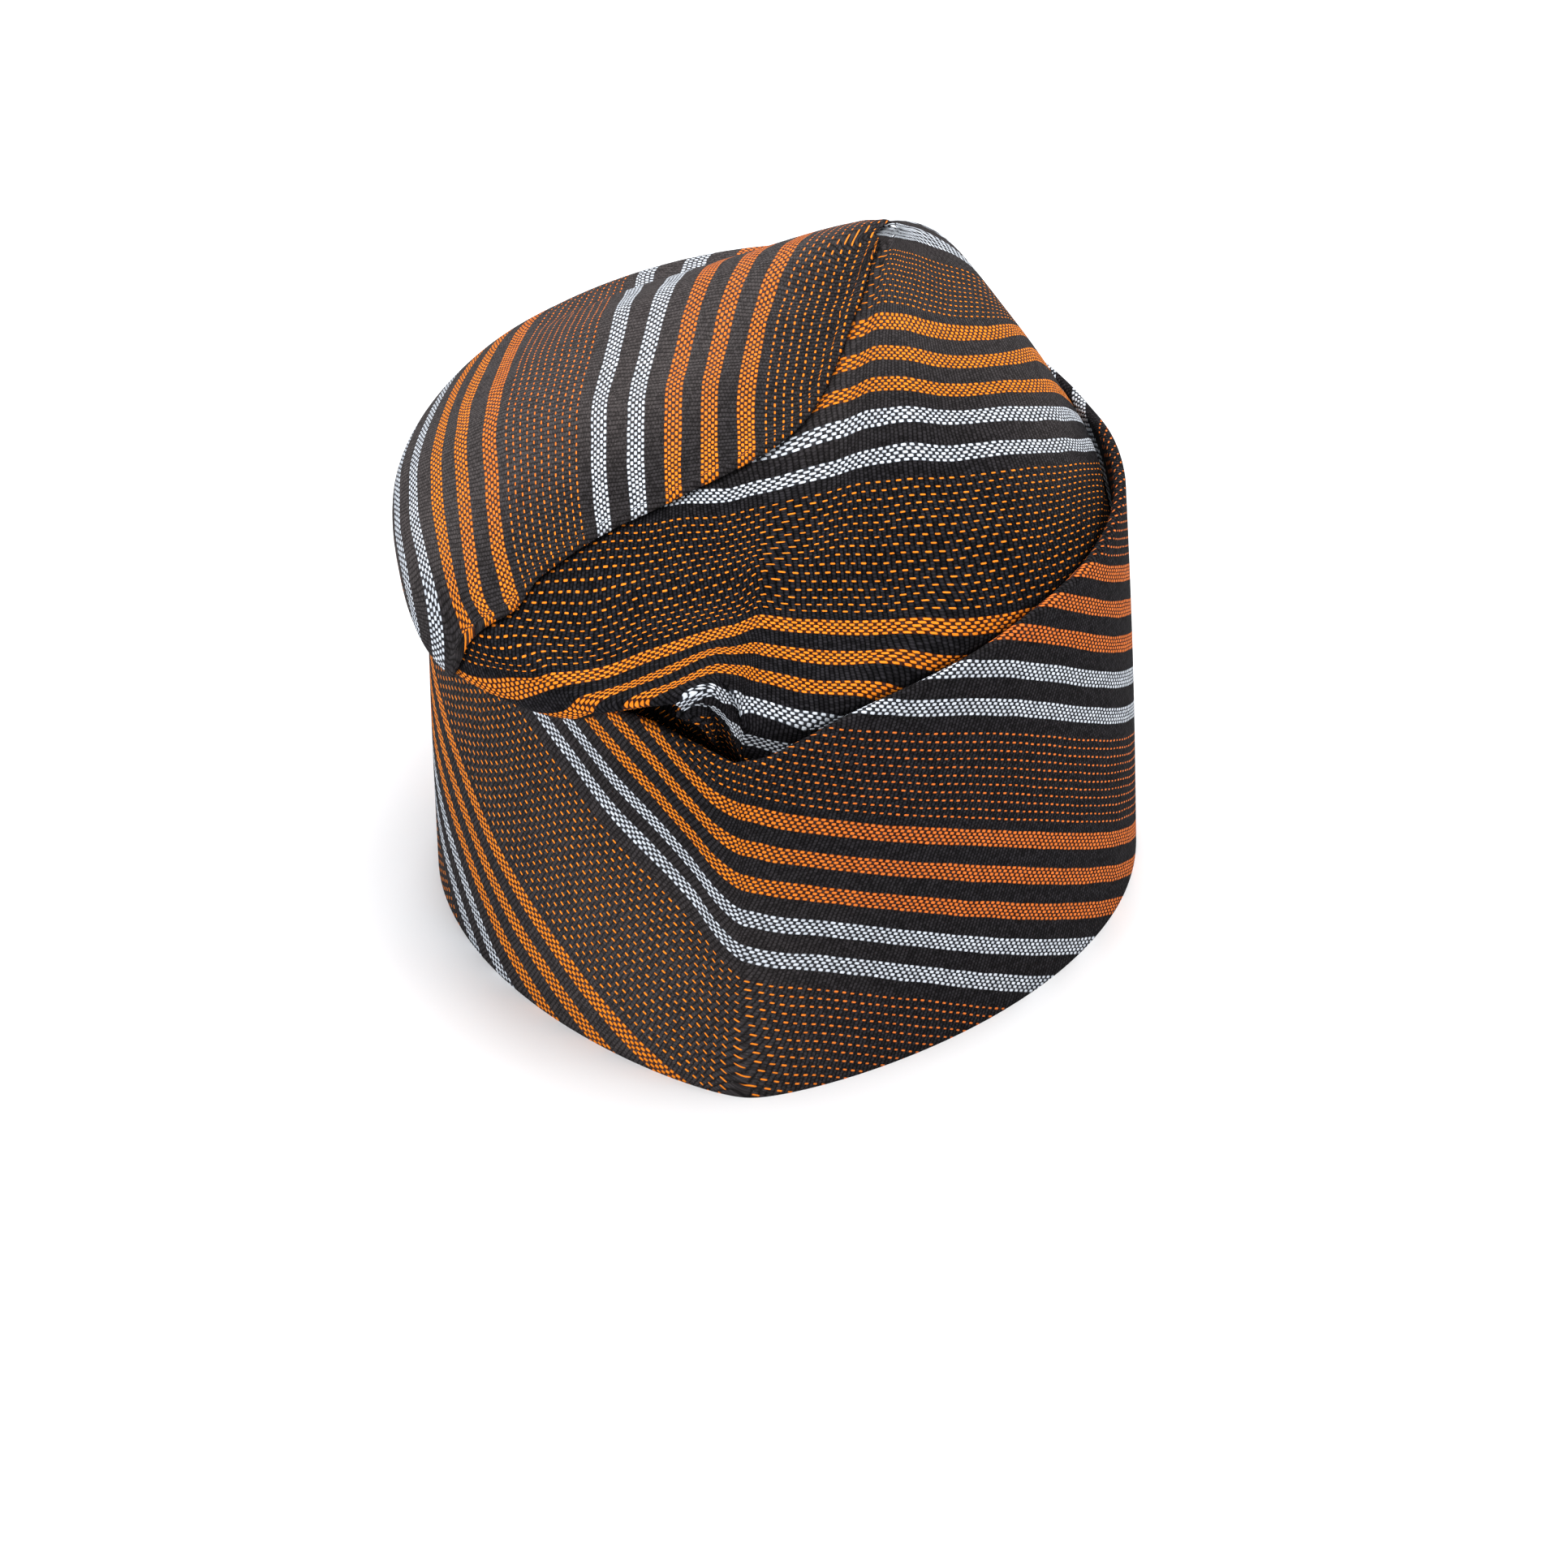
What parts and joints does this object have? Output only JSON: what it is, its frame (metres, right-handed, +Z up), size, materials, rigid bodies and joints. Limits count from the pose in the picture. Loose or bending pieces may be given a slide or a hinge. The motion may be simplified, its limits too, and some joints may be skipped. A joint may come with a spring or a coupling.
{
  "type": "soft cap",
  "caption": "Soft woven cap with a turned-up band, a notch at the front, and a loose crown folded over to one side.",
  "frame": {"origin": "on the plane of the band's rim, under the middle of the cap's outline", "axes": "+Z up through the crown, -Y to the front of the cap, +X to the wearer's left"},
  "size_m": [0.181, 0.2158, 0.1504],
  "materials": {
    "band_cloth": "hand-woven cotton, dark ground with orange and silver dashes",
    "crown_cloth": "hand-woven cotton, dark ground with orange and silver dashes",
    "flap_cloth": "hand-woven cotton, dark ground with orange and silver dashes"
  },
  "bodies": {
    "root": {"band": "band_cloth", "crown": "crown_cloth", "crown_flap": "flap_cloth"}
  },
  "joints": []
}
